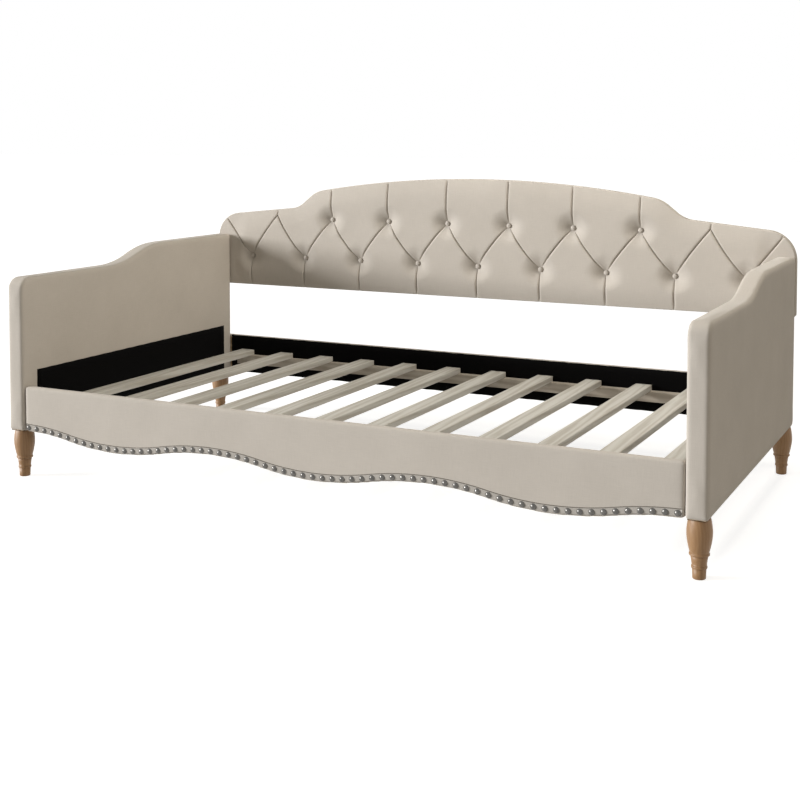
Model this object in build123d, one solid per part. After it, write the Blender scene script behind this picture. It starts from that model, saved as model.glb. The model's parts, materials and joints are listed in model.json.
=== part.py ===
from build123d import *
import math
import os

# Upholstered daybed: two panel arms with a swept top line, a scalloped front rail with a
# nailhead row, a plain back rail, a button-tufted camelback panel, twelve slats and four
# turned legs. Millimetres, +Z up, front towards -Y, origin on the floor under the middle.

# Overall sizes
mattress_length = 1905.0
mattress_room = 25.0
arm_thickness = 55.0
arm_depth = 1079.0
panel_thickness = 27.0
bolt_head_height = 3.0
leg_height = 139.0

inner_length = mattress_length + mattress_room
overall_length = inner_length + 2 * arm_thickness
overall_depth = arm_depth + panel_thickness + bolt_head_height

inner_x = inner_length / 2
outer_x = overall_length / 2
front_y = -overall_depth / 2
arm_back_y = front_y + arm_depth

# Upholstery build-up
cover_thickness = 6.0
cover_edge_radius = 5.0
cloth_thickness = 1.2
board_thickness = 4.0

# Arms
arm_front_rise = 448.0
arm_back_rise = 502.0
rise_start = 398.0
rise_run = 280.0
arm_nose_radius = 36.0
arm_corner_radius = 9.0
post_width = 60.0
arm_rail_height = 40.0
arm_top_rail_height = 45.0
liner_height = 161.0
liner_front_margin = 61.0
liner_back_margin = 51.0
liner_bottom_margin = 12.0

arm_front_height = leg_height + arm_front_rise
arm_back_height = leg_height + arm_back_rise
liner_low = leg_height + liner_bottom_margin
liner_top = liner_low + liner_height
frame_low = leg_height + cloth_thickness
arm_rail_top = frame_low + arm_rail_height
frame_inner = cover_thickness + board_thickness

# Slats and ledgers
slat_count = 12
slat_side_margin = 74.0
slat_width = 52.0
slat_thickness = 18.0
slat_rise = 85.0
slat_edge = 1.5
slat_end_gap = 5.0
ledger_depth = 25.0
ledger_height = 32.0
ledger_end_gap = 4.5

slat_top = leg_height + slat_rise
slat_under = slat_top - slat_thickness
slat_pitch = 2 * (inner_x - slat_side_margin) / (slat_count - 1)
slat_xs = [(index - (slat_count - 1) / 2) * slat_pitch for index in range(slat_count)]

# Rails
rail_board_thickness = 18.0
rail_end_clearance = 0.5
front_rail_recess = 7.0
front_rail_height = 131.0
lobe_count = 3
lobe_drop = 31.0
back_rail_height = 133.0
back_rail_end_inset = 15.0
rail_liner_margin = 12.0
rail_depth = cover_thickness + rail_board_thickness

front_rail_top = leg_height + front_rail_height
back_rail_top = leg_height + back_rail_height
front_rail_half = inner_x - rail_end_clearance
front_rail_front = front_y + front_rail_recess
front_rail_rear = front_rail_front + rail_depth
lobe_pitch = 2 * front_rail_half / lobe_count
back_rail_half = outer_x - back_rail_end_inset
back_rail_rear = arm_back_y + rail_depth

# Nailhead row on its fabric band
nail_count = 67
nail_diameter = 16.0
nail_height = 4.5
nail_sides = 8
nail_end_margin = 15.0
nail_rise = 12.0
band_low = 5.0
band_high = 23.0
band_thickness = 1.0

# Camelback panel: outline walked from the crown's middle out to the side
panel_rise = 320.0
panel_height = 393.0
crown_radius = 3590.0
crown_half_width = 583.0
crown_end_radius = 110.0
swoop_angle = 39.0
swoop_length = 35.0
shoulder_radius = 95.0
shoulder_angle = 5.8
panel_corner_radius = 90.0
panel_edge_radius = 4.0
panel_low_radius = 5.0
panel_board_thickness = 10.0
pad_wrap = 5.0
rear_cloth_thickness = 2.0
rear_cloth_margin = 9.0

panel_bottom = leg_height + panel_rise
crown_top = panel_bottom + panel_height
panel_board_rear = arm_back_y + panel_thickness - rear_cloth_thickness
panel_board_front = panel_board_rear - panel_board_thickness
panel_rear = arm_back_y + panel_thickness

# Tufting lattice: buttons on two rows, half a pitch apart
tuft_side_margin = 142.8
lower_row_rise = 105.0
row_spacing = 138.0
lower_row_reach = 4
upper_button_reach = 2.5
upper_pleat_reach = 3.5
pleat_half_width = 46.0
pleat_lift = 4.0
dimple_radius = 40.0
button_padding = 3.0
button_diameter = 19.0
button_height = 6.5
button_rim = 2.0
button_sides = 10
roll_lift = 0.8
cut_overrun = 60.0

tuft_pitch = (outer_x - tuft_side_margin) / lower_row_reach
lower_row_z = panel_bottom + lower_row_rise
upper_row_z = lower_row_z + row_spacing
dimple_depth = panel_board_front - arm_back_y - button_padding
pleat_depth = dimple_depth - pleat_lift

# Turned legs
leg_inset = 35.0
leg_top_radius = 25.5
leg_belly_radius = 29.75
leg_belly_z = 104.0
leg_waist_radius = 22.0
leg_waist_z = 60.0
leg_ring_swell = 1.8
leg_ring_height = 6.0
leg_neck_radius = 17.0
leg_neck_z = 30.0
leg_foot_ring_height = 5.0
leg_foot_radius = 15.4
leg_edge = 1.5

leg_x = outer_x - arm_thickness / 2
leg_ys = {"front": front_y + leg_inset, "back": arm_back_y - leg_inset}

# Fasteners
bolt_diameter = 8.0
bolt_head_diameter = 15.0
bolt_clearance = 0.25
bore_sides = 8
back_bolt_length = 50.0
bracket_bolt_length = 30.0
insert_wall = 2.0
insert_length = 22.0
leg_insert_length = 15.0
leg_bolt_reach = 35.0
panel_bolt_margin = 41.0
back_rail_bolt_margin = 22.0
back_rail_bolt_spacing = 44.0
screw_diameter = 4.0
screw_head_diameter = 8.0
screw_head_height = 2.4
screw_clearance = 0.1
screw_sides = 6
slat_screw_length = 38.0
bracket_screw_length = 15.0

back_rail_bolt_high = back_rail_top - back_rail_bolt_margin
back_rail_bolt_zs = (back_rail_bolt_high - back_rail_bolt_spacing, back_rail_bolt_high)
panel_bolt_zs = (panel_bottom + panel_bolt_margin, arm_back_height - panel_bolt_margin)
bolt_bore = bolt_diameter / 2 + bolt_clearance
insert_bore = bolt_diameter / 2 + insert_wall

# Corner brackets between the front rail and the arms
bracket_gauge = 2.5
bracket_rail_leg = 36.0
bracket_arm_leg = 28.0
bracket_rise = 11.0
bracket_height = 70.0
bracket_hole_margin = 15.0
bracket_arm_hole = 17.0
bracket_rail_hole = 23.0
bracket_corner_radius = 4.0

bracket_low = leg_height + bracket_rise
bracket_high = bracket_low + bracket_height
bracket_zs = (bracket_low + bracket_hole_margin, bracket_high - bracket_hole_margin)
ledger_x = inner_x - bracket_rail_leg - ledger_end_gap

sides = {"left": -1, "right": 1}


def block(x_low, x_high, y_low, y_high, z_low, z_high):
    """Box between two corners; the X limits may come in either order."""
    x_low, x_high = sorted((x_low, x_high))
    size = (x_high - x_low, y_high - y_low, z_high - z_low)
    return Pos(x_low, y_low, z_low) * Box(*size, align=(Align.MIN, Align.MIN, Align.MIN))


def side_prism(outline, x_start, x_end):
    """Extrude a Y-Z outline between two X planes."""
    x_low, x_high = sorted((x_start, x_end))
    plane = Plane((x_low, 0, 0), x_dir=(0, 1, 0), z_dir=(1, 0, 0))
    return extrude(plane * outline, x_high - x_low)


def front_prism(outline, y_front, y_rear):
    """Extrude an X-Z outline from its rear plane to its front plane."""
    plane = Plane((0, y_rear, 0), x_dir=(1, 0, 0), z_dir=(0, -1, 0))
    return extrude(plane * outline, y_rear - y_front)


def pointing(x, y, z, direction):
    """Location that turns a piece modelled along +Z to the given direction."""
    return Location(Plane((x, y, z), z_dir=direction))


def soften(face, radius):
    """Round the outer border of one flat face and give back its solid."""
    return fillet(face.outer_wire().edges(), radius)


def save(name, solids):
    """Write one node; a list becomes a group of separate solids."""
    if isinstance(solids, list):
        solids = Compound(children=[solid.solid() for solid in solids])
    export_step(solids, os.path.join("parts", name + ".step"))


# Fasteners, modelled along +Z in their driving direction with the seat at Z = 0


def dome(radius, height, sides, rim=0.0):
    """Low domed head on a flat seat: a straight rim, then bands that follow a round crown."""
    rise = height - rim
    crown = (radius ** 2 + rise ** 2) / (2 * rise)
    half_turn = math.asin(radius / crown)
    rings = [(radius, 0.0)] if rim else []
    for share in (1.0, 0.6, 0.2):
        angle = half_turn * share
        rings.append((crown * math.sin(angle), height - crown + crown * math.cos(angle)))
    return loft([Pos(0, 0, z) * RegularPolygon(r, sides) for r, z in rings], ruled=True)


def connector_bolt(length):
    """Flat-headed bolt."""
    bottom = (Align.CENTER, Align.CENTER, Align.MIN)
    head = Pos(0, 0, -bolt_head_height) * Cylinder(bolt_head_diameter / 2, bolt_head_height, align=bottom)
    return head + Cylinder(bolt_diameter / 2, length, align=bottom)


def bore(radius, length, overrun=0.0):
    """Drilled hole from Z = -overrun to Z = length, as flats round the radius."""
    section = RegularPolygon(radius, bore_sides, major_radius=False)
    return Pos(0, 0, -overrun) * extrude(section, length + overrun)


def insert_nut(length):
    """Threaded insert: a sleeve round the bolt."""
    return bore(insert_bore, length) - bore(bolt_bore, length)


def wood_screw(length, clearance=0.0):
    """Countersunk screw, or with a clearance the hole that it goes in."""
    shank = screw_diameter / 2 + clearance
    head = screw_head_diameter / 2 + clearance
    rings = [(head, 0), (shank, screw_head_height), (shank, length + clearance)]
    return loft([Pos(0, 0, z) * RegularPolygon(r, screw_sides) for r, z in rings], ruled=True)


# Where the fasteners sit

into_front = (0, -1, 0)


def back_rail_bolt_x(sign):
    """Middle of the strip where the back rail overlaps the arm."""
    return sign * (inner_x + back_rail_half) / 2


def back_bolt_seats(sign):
    """Seat points of the bolts that hold the panel and the back rail to one arm."""
    panel = [(sign * leg_x, panel_rear, z) for z in panel_bolt_zs]
    rail = [(back_rail_bolt_x(sign), back_rail_rear, z) for z in back_rail_bolt_zs]
    return panel + rail


def bracket_bolt_seats(sign):
    """Seat points of the bolts that hold a corner bracket to one arm."""
    x = sign * (inner_x - bracket_gauge)
    return [(x, front_rail_rear + bracket_arm_hole, z) for z in bracket_zs]


def bracket_screw_seats(sign):
    """Seat points of the screws that hold a corner bracket to the front rail."""
    x = sign * (inner_x - bracket_rail_hole)
    return [(x, front_rail_rear + bracket_gauge, z) for z in bracket_zs]


def bracket_screw(seat, clearance=0.0):
    """Screw through a corner bracket into the front rail, or its hole."""
    return pointing(*seat, into_front) * wood_screw(bracket_screw_length, clearance)


def arm_bores(sign):
    """Bolt holes and insert seats of one arm, each as a cutting solid."""
    holes = []
    frame_back = arm_back_y - cover_thickness
    for x, _, z in back_bolt_seats(sign):
        holes.append(pointing(x, arm_back_y, z, into_front) * bore(bolt_bore, back_bolt_length, 1))
        holes.append(pointing(x, frame_back, z, into_front) * bore(insert_bore, insert_length))
    frame_face = sign * (inner_x + frame_inner)
    for _, y, z in bracket_bolt_seats(sign):
        outward = (sign, 0, 0)
        holes.append(pointing(sign * inner_x, y, z, outward) * bore(bolt_bore, bracket_bolt_length, 1))
        holes.append(pointing(frame_face, y, z, outward) * bore(insert_bore, insert_length))
    for y in leg_ys.values():
        holes.append(pointing(sign * leg_x, y, frame_low, (0, 0, 1)) * bore(insert_bore, leg_insert_length))
    return holes


# Arms


def arm_outline():
    """Side view of an arm: level front, a swept rise and a level back."""
    rise_end = front_y + rise_start + rise_run
    low = (front_y + rise_start, arm_front_height)
    high = (rise_end, arm_back_height)
    middle = ((low[0] + high[0]) / 2, (low[1] + high[1]) / 2)
    edges = [
        TangentArc(low, middle, tangent=(1, 0)),
        TangentArc(high, middle, tangent=(-1, 0)),
        Polyline(high, (arm_back_y, arm_back_height), (arm_back_y, leg_height),
                 (front_y, leg_height), (front_y, arm_front_height), low),
    ]
    outline = make_face(edges)
    nose = outline.vertices().sort_by_distance((front_y, arm_front_height, 0))[0]
    outline = fillet(nose, arm_nose_radius)
    corners = [(front_y, leg_height, 0), (arm_back_y, leg_height, 0), (arm_back_y, arm_back_height, 0)]
    vertices = [outline.vertices().sort_by_distance(corner)[0] for corner in corners]
    return fillet(vertices, arm_corner_radius)


def arm_core(sign, depth_in, depth_out, low):
    """Inside of the arm cover between two depths from the inner face, open downwards."""
    x_start = sign * (inner_x + depth_in)
    x_end = sign * (inner_x + depth_out)
    core = side_prism(offset(arm_outline(), -cover_thickness), x_start, x_end)
    foot_top = leg_height + 2 * arm_corner_radius
    y_low = front_y + cover_thickness
    y_high = arm_back_y - cover_thickness
    return core + block(x_start, x_end, y_low, y_high, low, foot_top)


def arm_frame(sign):
    """Wooden frame of one arm: full-length bottom rail, two posts, middle rail and swept top rail."""
    core = arm_core(sign, frame_inner, arm_thickness - frame_inner, frame_low)
    x_in = sign * inner_x
    x_out = sign * outer_x
    y_low = front_y + cover_thickness
    y_high = arm_back_y - cover_thickness
    post_front = y_low + post_width
    post_back = y_high - post_width
    top = arm_back_height
    middle_low = liner_top - arm_rail_height / 2
    between = block(x_in, x_out, post_front, post_back, arm_rail_top, top)
    pieces = {
        "arm_bottom_rail": core & block(x_in, x_out, y_low, y_high, frame_low, arm_rail_top),
        "arm_front_post": core & block(x_in, x_out, y_low, post_front, arm_rail_top, top),
        "arm_back_post": core & block(x_in, x_out, post_back, y_high, arm_rail_top, top),
        "arm_middle_rail": between & core & block(x_in, x_out, post_front, post_back, middle_low,
                                                  middle_low + arm_rail_height),
        "arm_top_rail": (core - Pos(0, 0, -arm_top_rail_height) * core) & between,
    }
    return pieces


def arm_cover(sign):
    """Padded fabric over the whole arm, open underneath."""
    cover = side_prism(arm_outline(), sign * inner_x, sign * outer_x)
    faces = cover.faces().sort_by(Axis.X)
    borders = faces[0].outer_wire().edges() + faces[-1].outer_wire().edges()
    cover = fillet(borders, cover_edge_radius)
    return cover - arm_core(sign, cover_thickness, arm_thickness - cover_thickness, leg_height)


def build_arm(side, sign):
    """All pieces of one arm."""
    pieces = arm_frame(sign)
    pieces["arm_inner_board"] = arm_core(sign, cover_thickness, frame_inner, frame_low)
    outer_face = arm_thickness - cover_thickness
    pieces["arm_outer_board"] = arm_core(sign, arm_thickness - frame_inner, outer_face, frame_low)
    pieces["arm_cover"] = arm_cover(sign)
    pieces = {name: piece - arm_bores(sign) for name, piece in pieces.items()}

    x_in = sign * inner_x
    pieces["arm_liner"] = block(x_in, x_in - sign * cloth_thickness, front_y + liner_front_margin,
                                arm_back_y - liner_back_margin, liner_low, liner_top)
    underside = block(x_in + sign * cover_thickness, sign * (outer_x - cover_thickness),
                      front_y + cover_thickness, arm_back_y - cover_thickness, leg_height, frame_low)
    leg_holes = [pointing(sign * leg_x, y, leg_height, (0, 0, 1)) * bore(bolt_bore, cloth_thickness, 1)
                 for y in leg_ys.values()]
    pieces["arm_bottom_cloth"] = underside - leg_holes
    for name, piece in pieces.items():
        save(f"{name}_{side}", piece)


# Front rail


def scallop_z(x):
    """Height of the scalloped bottom edge: arcs that swing between hollows and lobes."""
    quarter = lobe_pitch / 4
    swing = lobe_drop / 2
    radius = (quarter ** 2 + swing ** 2) / (2 * swing)
    along = abs(x) % lobe_pitch
    along = min(along, lobe_pitch - along)
    if along < quarter:
        return leg_height - lobe_drop + radius - math.sqrt(radius ** 2 - along ** 2)
    rest = lobe_pitch / 2 - along
    return leg_height - radius + math.sqrt(radius ** 2 - rest ** 2)


def scallop_edges(lift):
    """The scalloped edge from end to end, raised by a lift, as arcs that meet in tangent."""
    quarter = lobe_pitch / 4
    stops = [-front_rail_half + index * quarter for index in range(4 * lobe_count + 1)]
    edges = []
    for start, end in zip(stops, stops[1:]):
        points = [(x, scallop_z(x) + lift) for x in (start, (start + end) / 2, end)]
        edges.append(ThreePointArc(*points))
    return edges


def front_rail_outline(inset):
    """Front view of the rail, drawn in by an inset on every side."""
    scallop = make_face(scallop_edges(inset) + [Polyline(
        (front_rail_half, leg_height + inset), (front_rail_half, front_rail_top - inset),
        (-front_rail_half, front_rail_top - inset), (-front_rail_half, leg_height + inset))])
    tall = front_rail_top
    return scallop & Pos(0, tall) * Rectangle(2 * (front_rail_half - inset), 2 * tall)


def nail_seats():
    """Middle of each nail on the front face of the band."""
    reach = front_rail_half - nail_end_margin
    xs = [-reach + index * 2 * reach / (nail_count - 1) for index in range(nail_count)]
    return [(x, front_rail_front - band_thickness, scallop_z(x) + nail_rise) for x in xs]


def ledger(y_low, y_high):
    """Pine strip glued to its rail under the slat ends, drilled for the slat screws."""
    strip = block(-ledger_x, ledger_x, y_low, y_high, slat_under - ledger_height, slat_under)
    middle_y = (y_low + y_high) / 2
    seats = [Pos(x, middle_y, slat_top) * Rot(X=180) for x in slat_xs]
    return strip - [seat * wood_screw(slat_screw_length, screw_clearance) for seat in seats]


front_ledger_y = (front_rail_rear + cloth_thickness, front_rail_rear + cloth_thickness + ledger_depth)
back_ledger_y = (arm_back_y - cloth_thickness - ledger_depth, arm_back_y - cloth_thickness)


def build_front_rail():
    """Scalloped board, its padded cover, the nailhead band, the inner liner and the ledger."""
    board_front = front_rail_front + cover_thickness
    pocket = front_prism(front_rail_outline(cover_thickness), board_front, front_rail_rear)
    cover = front_prism(front_rail_outline(0), front_rail_front, front_rail_rear)
    cover = soften(cover.faces().sort_by(Axis.Y)[0], cover_edge_radius)
    screw_holes = [bracket_screw(seat, screw_clearance) for sign in sides.values()
                   for seat in bracket_screw_seats(sign)]
    save("front_rail_board", pocket - screw_holes)
    save("front_rail_cover", cover - pocket)

    band_ends = Polyline((front_rail_half, leg_height + band_low), (front_rail_half, leg_height + band_high))
    band = make_face(scallop_edges(band_low) + scallop_edges(band_high)
                     + [band_ends, mirror(band_ends, Plane.YZ)])
    trim = Pos(0, front_rail_top) * Rectangle(2 * (front_rail_half - band_low), 2 * front_rail_top)
    save("front_rail_band", front_prism(band & trim, front_rail_front - band_thickness, front_rail_front))
    nail = dome(nail_diameter / 2, nail_height, nail_sides)
    save("nailhead_trim", [pointing(*seat, into_front) * nail for seat in nail_seats()])

    liner_rear = front_rail_rear + cloth_thickness
    liner = front_prism(front_rail_outline(rail_liner_margin), front_rail_rear, liner_rear)
    short = bracket_rail_leg + 2 * rail_end_clearance
    liner &= block(-inner_x + short, inner_x - short, front_y, 0, 0, front_rail_top)
    save("front_rail_liner", liner)
    save("front_ledger", ledger(*front_ledger_y))


def corner_bracket(sign):
    """Bent steel angle in the corner between the front rail and one arm."""
    x_arm = sign * inner_x
    y_rail = front_rail_rear
    rail_leg = block(x_arm, x_arm - sign * bracket_rail_leg, y_rail, y_rail + bracket_gauge,
                     bracket_low, bracket_high)
    arm_leg = block(x_arm, x_arm - sign * bracket_gauge, y_rail, y_rail + bracket_arm_leg,
                    bracket_low, bracket_high)
    rail_tips = rail_leg.edges().filter_by(Axis.Y).sort_by(Axis.X, reverse=sign < 0)[:2]
    arm_tips = arm_leg.edges().filter_by(Axis.X).sort_by(Axis.Y)[-2:]
    bracket = fillet(rail_tips, bracket_corner_radius) + fillet(arm_tips, bracket_corner_radius)
    holes = [pointing(x, y, z, (sign, 0, 0)) * bore(bolt_bore, bracket_gauge, 1)
             for x, y, z in bracket_bolt_seats(sign)]
    holes += [bracket_screw(seat, screw_clearance) for seat in bracket_screw_seats(sign)]
    return bracket - holes


# Back rail


def build_back_rail():
    """Plain board behind the arms with its padded cover, inner liner and ledger."""
    cover = block(-back_rail_half, back_rail_half, arm_back_y, back_rail_rear, leg_height, back_rail_top)
    cover = soften(cover.faces().sort_by(Axis.Y)[-1], cover_edge_radius)
    pocket = block(-back_rail_half + cover_thickness, back_rail_half - cover_thickness, arm_back_y,
                   back_rail_rear - cover_thickness, leg_height + cover_thickness,
                   back_rail_top - cover_thickness)
    bolt_holes = []
    for sign in sides.values():
        for z in back_rail_bolt_zs:
            seat = pointing(back_rail_bolt_x(sign), back_rail_rear, z, into_front)
            bolt_holes.append(seat * bore(bolt_bore, rail_depth, 1))
    save("back_rail_board", pocket - bolt_holes)
    save("back_rail_cover", cover - pocket - bolt_holes)
    liner_x = inner_x - rail_end_clearance
    liner = block(-liner_x, liner_x, arm_back_y - cloth_thickness, arm_back_y,
                  leg_height + rail_end_clearance, back_rail_top - rail_end_clearance)
    save("back_rail_liner", liner)
    save("back_ledger", ledger(*back_ledger_y))


# Slats


def build_slats():
    """Pine slats from ledger to ledger, one screw at each end."""
    y_low = front_ledger_y[0] + slat_end_gap
    y_high = back_ledger_y[1] - slat_end_gap
    screw_ys = [sum(front_ledger_y) / 2, sum(back_ledger_y) / 2]
    screws = []
    for index, x in enumerate(slat_xs):
        slat = block(x - slat_width / 2, x + slat_width / 2, y_low, y_high, slat_under, slat_top)
        slat = chamfer(slat.edges().filter_by(Axis.Y), slat_edge)
        seats = [Pos(x, y, slat_top) * Rot(X=180) for y in screw_ys]
        slat -= [seat * wood_screw(slat_screw_length, screw_clearance) for seat in seats]
        save(f"slat_{index + 1:02d}", slat)
        screws += [seat * wood_screw(slat_screw_length) for seat in seats]
    save("slat_screws", screws)


# Back panel


def panel_outline():
    """Camelback outline, walked as tangent arcs from the crown's middle to the side, then mirrored."""
    crown_turn = math.degrees(math.asin(crown_half_width / crown_radius))
    swoop = math.radians(swoop_angle)
    slope = math.radians(shoulder_angle)
    run = (crown_half_width
           + crown_end_radius * (math.sin(swoop) - math.sin(math.radians(crown_turn)))
           + swoop_length * math.cos(swoop)
           + shoulder_radius * (math.sin(swoop) - math.sin(slope))
           + panel_corner_radius * (1 - math.sin(slope)))
    shoulder_length = (outer_x - run) / math.cos(slope)

    point = Vector(0, crown_top)
    heading = 0.0
    edges = []
    steps = [(crown_radius, crown_turn), (crown_end_radius, swoop_angle), (0, swoop_length),
             (-shoulder_radius, shoulder_angle), (0, shoulder_length), (panel_corner_radius, 90.0)]
    for radius, target in steps:
        if radius == 0:
            fall = math.radians(heading)
            end = point + Vector(math.cos(fall), -math.sin(fall)) * target
            edges.append(Line(point, end))
        else:
            centre = point - Vector(math.sin(math.radians(heading)), math.cos(math.radians(heading))) * radius
            stops = [math.radians(angle) for angle in ((heading + target) / 2, target)]
            middle, end = [centre + Vector(math.sin(stop), math.cos(stop)) * radius for stop in stops]
            edges.append(ThreePointArc(point, middle, end))
            heading = target
        point = end
    edges.append(Line(point, (outer_x, panel_bottom)))
    edges += [mirror(edge, Plane.YZ) for edge in edges]
    edges.append(Line((-outer_x, panel_bottom), (outer_x, panel_bottom)))
    outline = make_face(edges)
    low_corners = outline.vertices().sort_by(Axis.Y)[:2]
    return fillet(low_corners, panel_low_radius)


def lower_tuft(index):
    """Button place on the lower row."""
    return Vector(index * tuft_pitch, lower_row_z)


def upper_tuft(index):
    """Button place on the upper row; indices fall on halves."""
    return Vector(index * tuft_pitch, upper_row_z)


def button_places():
    """Middle of every button in the panel's plane."""
    lower = [lower_tuft(index) for index in range(-lower_row_reach, lower_row_reach + 1)]
    upper_count = int(2 * upper_button_reach) + 1
    upper = [upper_tuft(index - upper_button_reach) for index in range(upper_count)]
    return lower + upper


def pleat_lines():
    """Start and end of every pleat: diagonals of the lattice, drops to the hem and rises to the crown."""
    lines = []
    for index in range(-lower_row_reach, lower_row_reach + 1):
        low = lower_tuft(index)
        lines.append((low, Vector(low.X, panel_bottom - cut_overrun)))
        lines += [(low, upper_tuft(index + half)) for half in (-0.5, 0.5)]
    for index in range(int(2 * upper_pleat_reach) + 1):
        high = upper_tuft(index - upper_pleat_reach)
        lines.append((high, Vector(high.X, crown_top + cut_overrun)))
    return lines


def roll_arc(reach, depth, inner=0.0):
    """Rounded shoulder that rolls from the padded face down to a depth, from reach in to inner."""
    run = reach - inner
    drop = depth + roll_lift
    radius = (run ** 2 + drop ** 2) / (2 * drop)
    half_turn = math.asin(run / radius) / 2
    middle = (reach - radius * math.sin(half_turn), roll_lift - radius + radius * math.cos(half_turn))
    return ThreePointArc((reach, roll_lift), middle, (inner, -depth))


def pleat_cutter(start, end):
    """Prism that sinks one pleat, with padding that rolls in from both sides."""
    roll = roll_arc(pleat_half_width, pleat_depth)
    lid = Polyline((pleat_half_width, roll_lift), (pleat_half_width, cut_overrun),
                   (-pleat_half_width, cut_overrun), (-pleat_half_width, roll_lift))
    section = make_face([roll, mirror(roll, Plane.YZ), lid])
    way = (end - start).normalized()
    plane = Plane((start.X, arm_back_y, start.Y), x_dir=(-way.Y, 0, way.X), z_dir=(way.X, 0, way.Y))
    return extrude(plane * section, (end - start).length)


def dimple_cutter():
    """Round hollow that a button pulls into the padding, flat where the button sits."""
    flat = button_diameter / 2
    profile = make_face([roll_arc(dimple_radius, dimple_depth, flat), Polyline(
        (flat, -dimple_depth), (0, -dimple_depth), (0, cut_overrun),
        (dimple_radius, cut_overrun), (dimple_radius, roll_lift))])
    return revolve(Plane.XZ * profile, Axis.Z)


def panel_bolt_holes():
    """Holes of the bolts that go through the panel into the arms."""
    seats = [(sign * leg_x, panel_rear, z) for sign in sides.values() for z in panel_bolt_zs]
    return [pointing(*seat, into_front) * bore(bolt_bore, panel_thickness, 1) for seat in seats]


def tufted_pad():
    """Padded cover of the panel: wrapped round the board, pleated and pulled in at the buttons."""
    pad = front_prism(panel_outline(), arm_back_y, panel_board_rear)
    pad = soften(pad.faces().sort_by(Axis.Y)[0], panel_edge_radius)
    pad -= front_prism(offset(panel_outline(), -pad_wrap), panel_board_front, panel_board_rear)
    dimple = dimple_cutter()
    for place in button_places():
        pad -= pointing(place.X, arm_back_y, place.Y, into_front) * dimple
    for start, end in pleat_lines():
        pad -= pleat_cutter(start, end)
    return pad - panel_bolt_holes()


def build_back_panel():
    """Board, tufted cover, buttons and rear cloth of the camelback panel."""
    holes = panel_bolt_holes()
    board = front_prism(offset(panel_outline(), -pad_wrap), panel_board_front, panel_board_rear)
    save("back_board", board - holes)
    save("back_tufted_pad", tufted_pad())
    button = dome(button_diameter / 2, button_height, button_sides, button_rim)
    seat_y = arm_back_y + dimple_depth
    seats = [pointing(place.X, seat_y, place.Y, into_front) for place in button_places()]
    save("tuft_buttons", [seat * button for seat in seats])
    cloth = front_prism(offset(panel_outline(), -rear_cloth_margin), panel_board_rear, panel_rear)
    save("back_rear_cloth", cloth - holes)


# Legs


def turned_leg():
    """Turned leg standing on Z = 0: belly, waist ring, neck, foot ring and tapered foot."""
    ring_low = leg_waist_z - leg_ring_height
    foot_ring_low = leg_neck_z - leg_foot_ring_height
    under_ring = leg_waist_radius - leg_ring_swell
    foot_top = leg_foot_radius + leg_edge / 2
    foot_band = leg_neck_radius + leg_ring_swell / 2
    profile = make_face([
        Polyline((0, 0), (0, leg_height), (leg_top_radius, leg_height)),
        ThreePointArc((leg_top_radius, leg_height), (leg_belly_radius, leg_belly_z),
                      (leg_waist_radius, leg_waist_z)),
        ThreePointArc((leg_waist_radius, leg_waist_z),
                      (leg_waist_radius + leg_ring_swell, leg_waist_z - leg_ring_height / 2),
                      (leg_waist_radius, ring_low)),
        Polyline((leg_waist_radius, ring_low), (under_ring, ring_low), (leg_neck_radius, leg_neck_z),
                 (foot_band, leg_neck_z), (foot_band, foot_ring_low), (foot_top, foot_ring_low),
                 (leg_foot_radius, leg_edge), (leg_foot_radius - leg_edge, 0), (0, 0)),
    ])
    leg = revolve(Plane.XZ * profile, Axis.Z)
    return leg - Pos(0, 0, leg_height - leg_bolt_reach) * bore(bolt_bore, leg_bolt_reach, 0)


def build_legs():
    """Four legs with their hanger bolts and inserts."""
    leg = turned_leg()
    bolts = []
    inserts = []
    rod_length = leg_bolt_reach + cloth_thickness + leg_insert_length
    for side, sign in sides.items():
        for end, y in leg_ys.items():
            save(f"leg_{end}_{side}", Pos(sign * leg_x, y, 0) * leg)
            rod = Cylinder(bolt_diameter / 2, rod_length, align=(Align.CENTER, Align.CENTER, Align.MIN))
            bolts.append(Pos(sign * leg_x, y, leg_height - leg_bolt_reach) * rod)
            inserts.append(Pos(sign * leg_x, y, frame_low) * insert_nut(leg_insert_length))
    save("leg_hanger_bolts", bolts)
    save("leg_inserts", inserts)


# Hardware that joins the arms, rails and panel


def build_hardware():
    """Bolts, inserts, corner brackets and rail screws."""
    back_bolts = []
    bracket_bolts = []
    inserts = []
    frame_back = arm_back_y - cover_thickness
    for side, sign in sides.items():
        for x, y, z in back_bolt_seats(sign):
            back_bolts.append(pointing(x, y, z, into_front) * connector_bolt(back_bolt_length))
            inserts.append(pointing(x, frame_back, z, into_front) * insert_nut(insert_length))
        for x, y, z in bracket_bolt_seats(sign):
            outward = (sign, 0, 0)
            bracket_bolts.append(pointing(x, y, z, outward) * connector_bolt(bracket_bolt_length))
            seat = pointing(sign * (inner_x + frame_inner), y, z, outward)
            inserts.append(seat * insert_nut(insert_length))
        save(f"front_rail_bracket_{side}", corner_bracket(sign))
    save("back_bolts", back_bolts)
    save("bracket_bolts", bracket_bolts)
    save("arm_inserts", inserts)
    seats = [seat for sign in sides.values() for seat in bracket_screw_seats(sign)]
    save("bracket_screws", [bracket_screw(seat) for seat in seats])


os.makedirs("parts", exist_ok=True)
for side, sign in sides.items():
    build_arm(side, sign)
build_front_rail()
build_back_rail()
build_slats()
build_back_panel()
build_legs()
build_hardware()
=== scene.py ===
import json
import math

import bpy
import numpy as np
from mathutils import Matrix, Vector
from mathutils.kdtree import KDTree


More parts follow.
